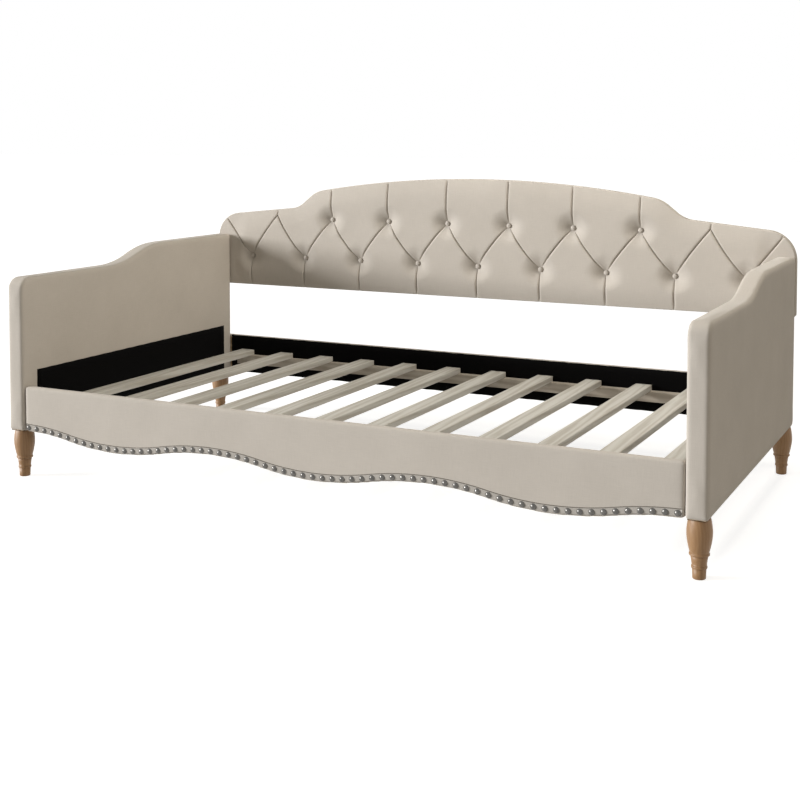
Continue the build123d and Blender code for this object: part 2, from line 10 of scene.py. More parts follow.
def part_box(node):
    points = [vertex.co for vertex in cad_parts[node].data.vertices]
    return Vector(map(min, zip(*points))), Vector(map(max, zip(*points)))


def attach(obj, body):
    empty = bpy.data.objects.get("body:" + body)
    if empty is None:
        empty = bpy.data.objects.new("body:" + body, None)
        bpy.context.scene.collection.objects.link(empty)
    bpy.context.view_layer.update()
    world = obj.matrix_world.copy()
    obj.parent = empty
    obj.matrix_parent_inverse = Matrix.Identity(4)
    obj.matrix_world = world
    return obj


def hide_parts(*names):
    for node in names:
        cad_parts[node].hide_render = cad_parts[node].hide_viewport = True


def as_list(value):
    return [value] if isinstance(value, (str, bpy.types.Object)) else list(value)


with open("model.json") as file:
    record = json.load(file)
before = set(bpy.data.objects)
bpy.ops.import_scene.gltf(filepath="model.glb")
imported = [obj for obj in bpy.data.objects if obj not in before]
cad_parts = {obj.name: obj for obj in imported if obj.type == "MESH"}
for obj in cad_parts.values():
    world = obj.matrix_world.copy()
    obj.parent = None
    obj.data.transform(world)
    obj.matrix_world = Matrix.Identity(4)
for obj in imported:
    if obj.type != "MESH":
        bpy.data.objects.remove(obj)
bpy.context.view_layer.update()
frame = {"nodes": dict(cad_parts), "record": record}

# Upholstered daybed: padded arms and rails, a tufted camelback panel, nailhead trim, slats and turned legs.
# Metres, +Z up, front towards -Y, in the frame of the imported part.

# Camera, fitted to the corners of arms, rails, panel and legs in the 800 x 800 photo
PHOTO_WIDTH = 800
FOCAL_PIXELS = 1301.5
SENSOR_WIDTH = 36.0
CAMERA_PLACE = (1.6761, -3.4097, 1.0081)
CAMERA_AZIMUTH = math.radians(26.46)
CAMERA_TILT = math.radians(3.01)
CAMERA_SHIFT = -0.25

# Even light of the surroundings
FILL = 0.23
FILL_COLOUR = (1.0, 0.955, 0.86, 1.0)

# Lamps: place, target, width and height, power, colour
LAMPS = {
    "key": ((-21.6, -12.4, 5.2), (0.0, 0.0, 0.45), (8.1, 7.2), 7950, (1.0, 1.0, 1.0)),
    "top": ((0.85, 0.2, 2.6), (-0.9, 0.0, 0.4), (0.6, 1.2), 29, (1.0, 0.95, 0.86)),
    "side": ((12.5, -1.5, 3.4), (0.0, 0.0, 0.4), (4.0, 3.0), 180, (1.0, 0.86, 0.66)),
}

# Floor: half its width, its grey, and its own glow, which grows between two distances
FLOOR_REACH = 40.0
FLOOR_GREY = 0.6
FLOOR_NEAR = 3.0
FLOOR_FAR = 8.0
FLOOR_GLOW_NEAR = 0.76
FLOOR_GLOW_FAR = 0.95

# Soft pieces start this much slimmer than their space and swell back into it
SLIM = 0.001
VOXEL = 0.005
SIM_FRAMES = 20
PRESSURE = 4.0
OUTLINE_STEP = 0.006

# Rounds of smoothing; near one face only the first rounds count, so its edges stay tight
ARM_ROUNDING = 7
FRONT_RAIL_ROUNDING = 7
BACK_RAIL_ROUNDING = 4
CRISP_ROUNDS = 2
CRISP_REACH = 0.014
CRISP_FADE = 0.008

# Outline of the arms
ARM_FRONT_DROP = 0.054
ARM_RISE_START = 0.398
ARM_RISE_RUN = 0.280
ARM_NOSE_RADIUS = 0.036
ARM_CORNER_RADIUS = 0.009
ARM_RIM = 0.0065
UNDERSIDE_GAP = 0.0002

# Scalloped edge, band and nails of the front rail
LOBES = 3
LOBE_DROP = 0.031
BAND_LOW = 0.005
BAND_HIGH = 0.023
BAND_STEP = 0.005
BAND_FOLD = 0.002
BAND_TUCK = 0.003
NAILS = 67
NAIL_RADIUS = 0.008
NAIL_SINK = 0.0008
NAIL_TIP = 0.0004
NAIL_SIDES = 20
NAIL_END = 0.015
NAIL_RISE = 0.012

# Camelback outline and tufting lattice
CROWN_RADIUS = 3.590
CROWN_HALF = 0.583
CROWN_END_RADIUS = 0.110
SWOOP = math.radians(39.0)
SWOOP_LENGTH = 0.035
SHOULDER_RADIUS = 0.095
SHOULDER_SLOPE = math.radians(5.8)
PANEL_CORNER = 0.090
PANEL_LOW_CORNER = 0.008
PANEL_EDGE = 0.005
TUFT_MARGIN = 0.1428
LOWER_ROW = 0.105
ROW_SPACING = 0.138
LOWER_REACH = 4
SHOULDER_TUFT_LIFT = 0.010
CORNER_PLEAT = (0.980, 0.694)
FALLING_BOW = 0.005
RISING_BOW = 0.003
CREASE_DEPTH = 0.0048
CREASE_REACH = 0.0018
PLEAT_DEPTH = 0.0030
PLEAT_ROLL = 0.010
PLEAT_STEP = 0.004
EDGE_PLEAT = 0.35
EDGE_PLEAT_REACH = 0.02
PAD_CROWN = 0.0070
PAD_CROWN_REACH = 0.070
PAD_CROWN_END = 0.955
PAD_CROWN_FADE = 0.060
DIMPLE_DEPTH = 0.0135
DIMPLE_FLOOR = 0.007
DIMPLE_REACH = 0.060
DIMPLE_POWER = 1.8
EDGE_SINK = 0.0015
FINE_STEP = 0.001
PILLOW_RINGS = (0.0, 0.008, 0.018, 0.03, 0.045, 0.065, 0.09, 0.12, 0.16, 0.21, 0.28, 0.37, 0.48, 0.62, 0.8)
BACK_LAP = 0.02
BUTTON_RADIUS = 0.0080
BUTTON_RIM = 0.0022
BUTTON_SIDES = 24

# Lining cloths: cell of the mesh, and how far the border eases back between its staples
CLOTH_CELL = 0.02
STAPLE_PITCH = 0.06
STAPLE_EASING = 0.0009


# Materials


def node(tree, kind, inputs, **settings):
    """Add a shader node with its settings, fed by values or other nodes' outputs, and give its outputs."""
    made = tree.nodes.new("ShaderNode" + kind)
    for key, value in settings.items():
        setattr(made, key, value)
    for key, value in inputs.items():
        if isinstance(value, bpy.types.NodeSocket):
            tree.links.new(value, made.inputs[key])
        else:
            made.inputs[key].default_value = value
    return made.outputs


def maths(tree, operation, first, second=0.0):
    return node(tree, "Math", {0: first, 1: second}, operation=operation)[0]


def weighted(tree, *terms, offset=0.0):
    """Sum of outputs, each times its weight, on top of an offset."""
    total = offset
    for value, weight in terms:
        total = node(tree, "Math", {0: value, 1: weight, 2: total}, operation="MULTIPLY_ADD")[0]
    return total


def ripple(tree, across, along, pitch):
    """Product of a wave each way, with one swell or hollow per pitch."""
    waves = [maths(tree, "SINE", maths(tree, "MULTIPLY", way, math.pi / pitch)) for way in (across, along)]
    return maths(tree, "MULTIPLY", *waves)


def noise(tree, vector, scale, detail=3.0, roughness=0.55):
    values = {"Vector": vector, "Scale": scale, "Detail": detail, "Roughness": roughness}
    return node(tree, "TexNoise", values)["Fac"]


def ramp(tree, factor, *stops):
    """Colour ramp through (place, linear colour) stops."""
    made = tree.nodes.new("ShaderNodeValToRGB")
    elements = made.color_ramp.elements
    while len(elements) < len(stops):
        elements.new(0.5)
    for element, (place, colour) in zip(elements, stops):
        element.position = place
        element.color = (*colour, 1.0)
    tree.links.new(factor, made.inputs[0])
    return made.outputs[0]


def new_material(name, **constants):
    """Material with constants on its main shader; gives it, its tree and that shader."""
    material = bpy.data.materials.new(name)
    material.use_nodes = True
    shader = material.node_tree.nodes["Principled BSDF"]
    for key, value in constants.items():
        shader.inputs[key.replace("_", " ").title()].default_value = value
    return material, material.node_tree, shader


def finish_material(tree, shader, colour, roughness, height, distance):
    """Feed the main shader with a colour, a roughness range over the height, and a bump."""
    tree.links.new(colour, shader.inputs["Base Color"])
    spread = node(tree, "MapRange", {0: height, 3: roughness[0], 4: roughness[1]})[0]
    tree.links.new(spread, shader.inputs["Roughness"])
    bump = node(tree, "Bump", {"Strength": 0.7, "Distance": distance, "Height": height})[0]
    tree.links.new(bump, shader.inputs["Normal"])


def surface_plane(tree):
    """Two coordinates that lie in the surface, whichever way it faces, for a weave."""
    place = node(tree, "TexCoord", {})["Object"]
    x, y, z = node(tree, "SeparateXYZ", {0: place})
    normal = node(tree, "NewGeometry", {})["Normal"]
    nx, ny, nz = [maths(tree, "ABSOLUTE", n) for n in node(tree, "SeparateXYZ", {0: normal})]
    sideways = maths(tree, "GREATER_THAN", nx, maths(tree, "ADD", ny, 0.02))
    upward = maths(tree, "GREATER_THAN", nz, 0.75)
    across = node(tree, "Mix", {0: sideways, 2: x, 3: y})[0]
    flat = node(tree, "Mix", {0: sideways, 2: y, 3: x})[0]
    along = node(tree, "Mix", {0: upward, 2: z, 3: flat})[0]
    return place, across, along


def linen(name, dark, light, thread=0.0011):
    """Plain weave with slubby yarns both ways and a faint broad mottle."""
    material, tree, shader = new_material(name, sheen_weight=0.15, sheen_roughness=0.4)
    shader.inputs["Specular IOR Level"].default_value = 0.08
    place, across, along = surface_plane(tree)
    weave = ripple(tree, across, along, thread)
    yarn_length, yarn_fineness = 28.0, 700.0
    yarns = []
    for long_way, short_way in ((across, along), (along, across)):
        drawn = node(tree, "CombineXYZ", {0: maths(tree, "MULTIPLY", long_way, yarn_length),
                                          1: maths(tree, "MULTIPLY", short_way, yarn_fineness)})[0]
        yarns.append(noise(tree, drawn, 1.0, 2.0))
    slub = maths(tree, "ADD", *yarns)
    mottle = noise(tree, place, 7.0, 4.0)
    tone = weighted(tree, (slub, 0.35), (mottle, 0.4), (weave, 0.06), offset=-0.05)
    colour = ramp(tree, tone, (0.2, dark), (0.8, light))
    height = weighted(tree, (slub, 0.5), (weave, 0.3))
    finish_material(tree, shader, colour, (0.95, 0.8), height, 0.00035)
    return material


def felt(name, dark, light, dot_pitch=0.002):
    """Pressed fibres of a lining cloth with small dimples in rows."""
    material, tree, shader = new_material(name)
    shader.inputs["Specular IOR Level"].default_value = 0.04
    across, along = surface_plane(tree)[1:]
    plane = node(tree, "CombineXYZ", {0: across, 1: along})[0]
    fibres = noise(tree, plane, 900.0, 5.0, 0.7)
    dots = ripple(tree, across, along, dot_pitch)
    height = weighted(tree, (fibres, 1.0), (dots, 0.2))
    colour = ramp(tree, height, (0.25, dark), (0.85, light))
    finish_material(tree, shader, colour, (0.98, 0.85), height, 0.0003)
    return material


def timber(name, dark, mid, light, stretch, ring=26.0, gloss=(0.7, 0.5), knots=0.0, lacquer=0.0):
    """Sawn wood: drawn-out growth rings, fine fibres, a broad drift and, where asked, a few knots, along the
    stretched axis.
    """
    material, tree, shader = new_material(name, coat_weight=lacquer, coat_roughness=0.5)
    shader.inputs["Specular IOR Level"].default_value = 0.25
    place = node(tree, "TexCoord", {})["Object"]
    drawn = node(tree, "Mapping", {"Vector": place, "Scale": stretch})[0]
    drift = noise(tree, drawn, 5.0, 2.0)
    rings = node(tree, "TexWave", {"Vector": drawn, "Scale": ring, "Distortion": 7.0, "Detail": 3.0,
                                   "Detail Scale": 1.4}, bands_direction="DIAGONAL")["Fac"]
    fibres = noise(tree, drawn, 420.0, 4.0, 0.65)
    tone = weighted(tree, (rings, 0.38), (fibres, 0.34), (drift, 0.36))
    if knots:
        spots = node(tree, "TexVoronoi", {"Vector": drawn, "Scale": 3.6}, feature="F1")["Distance"]
        spot = node(tree, "MapRange", {0: spots, 1: 0.0, 2: 0.16, 3: knots, 4: 0.0})[0]
        tone = maths(tree, "SUBTRACT", tone, spot)
    colour = ramp(tree, tone, (0.2, dark), (0.52, mid), (0.85, light))
    height = weighted(tree, (fibres, 0.7), (rings, 0.3))
    finish_material(tree, shader, colour, gloss, height, 0.0004)
    return material


def metal(name, dark, light, gloss, bare=1.0):
    """Plated or polished metal with cloudy tarnish; the bare share shines through the patina."""
    material, tree, shader = new_material(name, metallic=bare)
    place = node(tree, "TexCoord", {})["Object"]
    cloud = noise(tree, place, 160.0, 4.0, 0.6)
    scratch = noise(tree, place, 1500.0, 2.0)
    colour = ramp(tree, cloud, (0.3, dark), (0.7, light))
    height = weighted(tree, (scratch, 0.4), (cloud, 0.6))
    finish_material(tree, shader, colour, gloss, height, 0.0001)
    return material


ALONG_Y = (1.0, 0.05, 1.0)
ALONG_X = (0.05, 1.0, 1.0)
ALONG_Z = (1.0, 1.0, 0.10)
finishes = {
    "beige_linen": linen("beige_linen", (0.50, 0.459, 0.408), (0.63, 0.581, 0.523)),
    "black_lining": felt("black_lining", (0.0015, 0.0014, 0.0014), (0.0055, 0.0052, 0.0052)),
    "slat_pine": timber("slat_pine", (0.44, 0.40, 0.335), (0.57, 0.545, 0.49), (0.65, 0.63, 0.575),
                        ALONG_Y, knots=0.4),
    "frame_wood": timber("frame_wood", (0.26, 0.18, 0.10), (0.46, 0.34, 0.22), (0.58, 0.46, 0.32), ALONG_Y),
    "panel_board": timber("panel_board", (0.27, 0.19, 0.11), (0.44, 0.32, 0.20), (0.54, 0.42, 0.28), ALONG_X),
    "leg_wood": timber("leg_wood", (0.265, 0.140, 0.058), (0.296, 0.162, 0.068), (0.328, 0.186, 0.083),
                       ALONG_Z, ring=60.0, gloss=(0.6, 0.45), lacquer=0.6),
    "pewter_nail": metal("pewter_nail", (0.10, 0.096, 0.090), (0.17, 0.163, 0.153), (0.36, 0.24), bare=0.65),
    "zinc_steel": metal("zinc_steel", (0.42, 0.43, 0.44), (0.60, 0.61, 0.62), (0.45, 0.32)),
}
LEDGER_PINE = timber("ledger_pine", (0.38, 0.325, 0.26), (0.49, 0.435, 0.365), (0.57, 0.515, 0.44), ALONG_X)
BAND_LINEN = linen("band_linen", (0.42, 0.392, 0.357), (0.53, 0.50, 0.46))
# Painted shade: a dark linen for the band's upper fold, standing in for the shadow line in the groove above
# the band
PAINTED_SHADE_LINEN = linen("painted_shade_linen", (0.15, 0.135, 0.115), (0.22, 0.20, 0.175))


# Building blocks


def add_piece(name, points, faces, slot, *replaced):
    """Mesh piece from points and faces that rides on the bed and takes its finish from a slot."""
    mesh = bpy.data.meshes.new(name)
    mesh.from_pydata([tuple(p) for p in points], [], [tuple(int(i) for i in f) for f in faces])
    mesh.validate()
    return adopt(bpy.data.objects.new(name, mesh), slot, *replaced)


def adopt(piece, slot, *replaced):
    """Link a piece, shade it smooth, give it its body and finish, and hide the nodes that it stands for."""
    if piece.name not in bpy.context.scene.collection.objects:
        bpy.context.scene.collection.objects.link(piece)
    piece.data.shade_smooth()
    piece.data.materials.clear()
    piece.data.materials.append(finishes[slot])
    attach(piece, "root")
    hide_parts(*replaced)
    return piece


def arc(centre, radius, start, end, step=math.radians(12)):
    """Points on an arc from a start to an end angle, in a plane."""
    count = max(2, int(abs(end - start) / step) + 1)
    angles = np.linspace(start, end, count)
    return [(centre[0] + radius * math.cos(a), centre[1] + radius * math.sin(a)) for a in angles]


def resample(points, step):
    """Even points along an open line, both ends kept."""
    points = np.asarray(points, float)
    lengths = np.linalg.norm(np.diff(points, axis=0), axis=1)
    along = np.concatenate([[0.0], np.cumsum(lengths)])
    count = max(2, int(round(along[-1] / step)) + 1)
    stops = np.linspace(0.0, along[-1], count)
    return np.column_stack([np.interp(stops, along, points[:, axis]) for axis in (0, 1)])


def inward_normals(loop):
    """Unit normals of a closed counter-clockwise loop, towards its inside."""
    way = np.roll(loop, -1, axis=0) - np.roll(loop, 1, axis=0)
    way /= np.linalg.norm(way, axis=1)[:, None]
    return np.column_stack([-way[:, 1], way[:, 0]])


def read_points(mesh):
    flat = np.zeros(len(mesh.vertices) * 3)
    mesh.vertices.foreach_get("co", flat)
    return flat.reshape(-1, 3)


def write_points(mesh, points):
    mesh.vertices.foreach_set("co", np.asarray(points, float).ravel())
    mesh.update()


def apply_modifier(piece, kind, **settings):
    """Run one modifier and keep its result as the piece's own mesh."""
    modifier = piece.modifiers.new(kind.lower(), kind)
    for key, value in settings.items():
        setattr(modifier, key, value)
    graph = bpy.context.evaluated_depsgraph_get()
    result = bpy.data.meshes.new_from_object(piece.evaluated_get(graph))
    piece.modifiers.clear()
    piece.data = result


def inflate(piece, pressure, cap):
    """Swell a closed mesh as stretched fabric under pressure; no point moves further than the cap."""
    start = read_points(piece.data)
    cloth = piece.modifiers.new("cloth", "CLOTH")
    settings = cloth.settings
    settings.quality = 2
    settings.mass = 0.3
    settings.tension_stiffness = 12
    settings.compression_stiffness = 12
    settings.bending_stiffness = 0.6
    settings.use_pressure = True
    settings.uniform_pressure_force = pressure
    settings.effector_weights.gravity = 0.0
    cloth.collision_settings.use_collision = False
    cloth.point_cache.frame_end = SIM_FRAMES
    scene = bpy.context.scene
    for step in range(1, SIM_FRAMES + 1):
        scene.frame_set(step)
    graph = bpy.context.evaluated_depsgraph_get()
    shown = piece.evaluated_get(graph)
    swollen = read_points(shown.to_mesh())
    shown.to_mesh_clear()
    piece.modifiers.clear()
    scene.frame_set(1)
    move = swollen - start
    size = np.linalg.norm(move, axis=1)
    move *= np.minimum(1.0, cap / np.maximum(size, 1e-9))[:, None]
    write_points(piece.data, start + move)


def fill_box(points, node_name):
    """Points stretched along each axis until they fill the node's box."""
    low, high = [np.array(corner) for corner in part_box(node_name)]
    start, end = points.min(axis=0), points.max(axis=0)
    return low + (points - start) * (high - low) / (end - start)


def padded_board(name, loop, lift, low, high, rounding, away, replaced):
    """Upholstered board: a slim prism of the outline, remeshed evenly, swollen by its padding and rounded.

    Near the face that the function away measures from, the board keeps the tight edges of the first rounds.
    """
    slim = SLIM
    loop = np.asarray(loop, float)
    loop = loop + inward_normals(loop) * slim
    count = len(loop)
    points = [lift(a, b, depth) for depth in (low + slim, high - slim) for a, b in loop]
    faces = [[i, (i + 1) % count, count + (i + 1) % count, count + i] for i in range(count)]
    faces += [list(range(count))[::-1], list(range(count, 2 * count))]
    piece = add_piece(name, points, faces, "beige_linen", replaced)
    apply_modifier(piece, "REMESH", mode="VOXEL", voxel_size=VOXEL)
    inflate(piece, PRESSURE, SLIM)
    apply_modifier(piece, "SMOOTH", factor=0.5, iterations=CRISP_ROUNDS)
    crisp = read_points(piece.data)
    apply_modifier(piece, "SMOOTH", factor=0.5, iterations=rounding - CRISP_ROUNDS)
    soft = read_points(piece.data)
    share = np.clip((CRISP_REACH - away(crisp)) / CRISP_FADE, 0.0, 1.0)
    write_points(piece.data, fill_box(soft + (crisp - soft) * share[:, None], replaced))
    adopt(piece, "beige_linen")
    return piece


def closed_strip(rings):
    """Faces of a tube that joins rings of equal length in turn."""
    count = len(rings[0])
    faces = []
    for row in range(len(rings) - 1):
        for i in range(count):
            j = (i + 1) % count
            faces.append([row * count + i, row * count + j, (row + 1) * count + j, (row + 1) * count + i])
    return faces


def turned(profile, sides):
    """Rings and faces of a form turned about +Z, from (radius, height) pairs; the top closes to a point."""
    angles = np.arange(sides) * 2 * math.pi / sides
    rings = [[(r * math.cos(a), r * math.sin(a), h) for a in angles] for r, h in profile]
    faces = closed_strip(rings)
    tip = len(rings) * sides
    last = tip - sides
    faces += [[last + i, last + (i + 1) % sides, tip] for i in range(sides)]
    faces.append(list(range(sides))[::-1])
    points = [p for ring in rings for p in ring] + [(0.0, 0.0, profile[-1][1])]
    return np.array(points), faces


def repeat(form, places):
    """One mesh of copies of a +Z form turned to face the front, at each place."""
    points, faces = form
    turned_front = np.column_stack([points[:, 0], -points[:, 2], points[:, 1]])
    all_points, all_faces = [], []
    for place in places:
        offset = len(all_points)
        all_points += [tuple(p) for p in turned_front + np.asarray(place)]
        all_faces += [[offset + i for i in face] for face in faces]
    return all_points, all_faces


# Arms


def arm_loop(low, high):
    """Side outline of an arm, counter-clockwise in depth and height."""
    front, bottom, back, top = low.y, low.z, high.y, high.z
    front_top = top - ARM_FRONT_DROP
    start = front + ARM_RISE_START
    half_run = ARM_RISE_RUN / 2
    half_rise = ARM_FRONT_DROP / 2
    radius = (half_run ** 2 + half_rise ** 2) / (2 * half_rise)
    turn = math.asin(half_run / radius)
    quarter = math.pi / 2
    nose, corner = ARM_NOSE_RADIUS, ARM_CORNER_RADIUS
    fine = math.radians(3)
    line = arc((front + corner, bottom + corner), corner, math.pi, 3 * quarter)
    line += arc((back - corner, bottom + corner), corner, -quarter, 0.0)
    line += arc((back - corner, top - corner), corner, 0.0, quarter)
    line += arc((start + ARM_RISE_RUN, top - radius), radius, quarter, quarter + turn, fine)
    line += arc((start, front_top + radius), radius, turn - quarter, -quarter, fine)
    line += arc((front + nose, front_top - nose), nose, quarter, math.pi)
    return resample(line + line[:1], OUTLINE_STEP)[:-1]


def build_arms():
    """Both arms: one is made and swollen, the other is its mirror image."""
    low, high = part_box("arm_cover_left")
    left = padded_board("arm_upholstery_left", arm_loop(low, high), lambda y, z, x: (x, y, z),
                        low.x, high.x, ARM_ROUNDING, lambda p: p[:, 2] - p[:, 2].min(), "arm_cover_left")
    points = read_points(left.data)
    foot = points[:, 2] < low.z + CRISP_REACH
    under = foot & (points[:, 0] > low.x + ARM_RIM) & (points[:, 0] < high.x - ARM_RIM)
    under &= (points[:, 1] > low.y + ARM_RIM) & (points[:, 1] < high.y - ARM_RIM)
    cloth_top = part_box("arm_bottom_cloth_left")[1].z
    points[under, 2] = cloth_top + UNDERSIDE_GAP
    rim = foot & ~under
    gap = points[rim, 2].min() - low.z
    points[rim, 2] -= gap * (low.z + CRISP_REACH - points[rim, 2]) / (CRISP_REACH - gap)
    write_points(left.data, points)
    mirrored = left.data.copy()
    write_points(mirrored, points * (-1.0, 1.0, 1.0))
    mirrored.flip_normals()
    right = adopt(bpy.data.objects.new("arm_upholstery_right", mirrored), "beige_linen", "arm_cover_right")


# Rails


def scallop(x, half, base):
    """Height of the scalloped edge: arcs that swing between hollows and lobes."""
    pitch = 2 * half / LOBES
    quarter, swing = pitch / 4, LOBE_DROP / 2
    radius = (quarter ** 2 + swing ** 2) / (2 * swing)
    along = abs(x) % pitch
    along = min(along, pitch - along)
    if along < quarter:
        return base - LOBE_DROP + radius - math.sqrt(radius ** 2 - along ** 2)
    return base - radius + math.sqrt(radius ** 2 - (pitch / 2 - along) ** 2)


def rail_edge(step):
    """Stations along the front rail's lower edge as (x, height) pairs."""
    low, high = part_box("front_rail_cover")
    base = low.z + LOBE_DROP
    xs = np.linspace(low.x, high.x, int((high.x - low.x) / step) + 1)
    return np.array([(x, scallop(x, high.x, base)) for x in xs])


def build_rails():
    """Padded front rail with its scalloped edge, and the plain back rail."""
    low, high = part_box("front_rail_cover")
    edge = rail_edge(OUTLINE_STEP)
    loop = np.concatenate([edge, [(high.x, high.z), (low.x, high.z)]])
    loop = resample(np.concatenate([loop, loop[:1]]), OUTLINE_STEP)[:-1]
    padded_board("front_rail_upholstery", loop, lambda x, z, y: (x, y, z), low.y, high.y,
                 FRONT_RAIL_ROUNDING, lambda p: p[:, 1].max() - p[:, 1], "front_rail_cover")
    low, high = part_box("back_rail_cover")
    corners = [(low.x, low.z), (high.x, low.z), (high.x, high.z), (low.x, high.z), (low.x, low.z)]
    loop = resample(corners, OUTLINE_STEP)[:-1]
    padded_board("back_rail_upholstery", loop, lambda x, z, y: (x, y, z), low.y, high.y,
                 BACK_RAIL_ROUNDING, lambda p: p[:, 1] - p[:, 1].min(), "back_rail_cover")


def build_band():
    """Narrow fabric band along the scalloped edge, folded under at both borders; its upper fold is painted
    dark as the shade line above the band.
    """
    low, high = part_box("front_rail_band")
    fold, half_fold = BAND_FOLD, BAND_FOLD / 2
    edge = rail_edge(BAND_STEP)
    edge = edge[(edge[:, 0] > low.x) & (edge[:, 0] < high.x)]
    front, rear = low.y, high.y + BAND_TUCK
    middle = (BAND_LOW + BAND_HIGH) / 2
    section = [(rear, BAND_LOW), (front + half_fold, BAND_LOW), (front, BAND_LOW + half_fold),
               (front, BAND_LOW + fold), (front, middle), (front, BAND_HIGH - fold),
               (front, BAND_HIGH - half_fold), (front + half_fold, BAND_HIGH), (rear, BAND_HIGH)]
    rings = [[(x, y, z + rise) for y, rise in section] for x, z in edge]
    count = len(section)
    faces = closed_strip(rings)
    faces += [list(range(count)), list(range(len(rings) * count - count, len(rings) * count))[::-1]]
    band = add_piece("nailhead_band", [p for ring in rings for p in ring], faces, "beige_linen",
                     "front_rail_band")
    band.data.materials[0] = BAND_LINEN
    band.data.materials.append(PAINTED_SHADE_LINEN)
    # The faces of the band's upper fold take the dark linen: painted shade for the shadow line above the band
    painted_shade_fold = range(count - 4, count - 1)
    end_caps = count * (len(rings) - 1)
    for index, face in enumerate(band.data.polygons):
        if index % count in painted_shade_fold and index < end_caps:
            face.material_index = 1


def build_nails():
    """Row of domed nail heads, each pressed into the band."""
    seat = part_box("nailhead_trim")[1].y
    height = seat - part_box("nailhead_trim")[0].y
    low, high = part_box("front_rail_cover")
    base = low.z + LOBE_DROP
    reach = high.x - NAIL_END
    radius = NAIL_RADIUS
    crown = (radius ** 2 + height ** 2) / (2 * height)
    turn = math.asin(radius / crown)
    profile = [(radius * 0.97, -NAIL_SINK), (radius, 0.0)]
    profile += [(crown * math.sin(turn * s), height - crown + crown * math.cos(turn * s))
                for s in (0.93, 0.8, 0.65, 0.5, 0.34, 0.17)]
    profile.append((NAIL_TIP, height))
    places = [(x, seat, scallop(x, high.x, base) + NAIL_RISE) for x in np.linspace(-reach, reach, NAILS)]
    points, faces = repeat(turned(profile, NAIL_SIDES), places)
    add_piece("nailhead_row", points, faces, "pewter_nail", "nailhead_trim")


# Tufted panel


def panel_half_outline():
    """Camelback outline from the middle of the crown out and down to the foot of the side."""
    low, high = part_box("back_tufted_pad")
    crown_turn = math.asin(CROWN_HALF / CROWN_RADIUS)
    quarter = math.pi / 2
    centre = np.array([0.0, high.z - CROWN_RADIUS])
    line = arc(centre, CROWN_RADIUS, quarter, quarter - crown_turn, 0.0003)
    bends = ((CROWN_END_RADIUS, crown_turn, SWOOP), (-SHOULDER_RADIUS, SWOOP, SHOULDER_SLOPE))
    for radius, start, end in bends:
        heading = np.array([math.sin(start), math.cos(start)])
        centre = np.array(line[-1]) - heading * radius
        flip = 0.0 if radius > 0 else math.pi
        line += arc(centre, abs(radius), quarter - start + flip, quarter - end + flip, 0.006)
        if radius > 0:
            fall = np.array([math.cos(SWOOP), -math.sin(SWOOP)]) * SWOOP_LENGTH
            line += [tuple(p) for p in np.linspace(line[-1], line[-1] + fall, 20)]
    corner = PANEL_CORNER
    slope = np.array([math.cos(SHOULDER_SLOPE), -math.sin(SHOULDER_SLOPE)])
    reach = high.x - corner + corner * math.sin(SHOULDER_SLOPE)
    end = np.array(line[-1]) + slope * (reach - line[-1][0]) / slope[0]
    line += [tuple(p) for p in np.linspace(line[-1], end, 200)]
    centre = end - np.array([math.sin(SHOULDER_SLOPE), math.cos(SHOULDER_SLOPE)]) * corner
    line += arc(centre, corner, quarter - SHOULDER_SLOPE, 0.0, 0.01)
    foot = low.z + PANEL_LOW_CORNER
    line += [tuple(p) for p in np.linspace(line[-1], (high.x, foot), 200)]
    line += arc((high.x - PANEL_LOW_CORNER, foot), PANEL_LOW_CORNER, 0.0, -quarter, 0.1)
    return np.array(line)


def bowed(start, end, bow):
    """Line of a pleat from one point to another that bends to the left by a bow."""
    start, end = np.array(start), np.array(end)
    share = np.linspace(0.0, 1.0, 60)[:, None]
    way = (end - start) / np.linalg.norm(end - start)
    side = np.array([-way[1], way[0]])
    side *= -np.sign(side[0]) if side[0] else 0.0
    return start + (end - start) * share + side * bow * np.sin(math.pi * share)


def point_tree(points):
    """Search tree over points in the panel's plane."""
    tree = KDTree(len(points))
    for index, (x, z) in enumerate(points):
        tree.insert((x, z, 0.0), index)
    tree.balance()
    return tree


def distances(tree, places):
    """Distance from each place to the nearest point of a search tree."""
    return np.array([tree.find((x, z, 0.0))[2] for x, z in places])


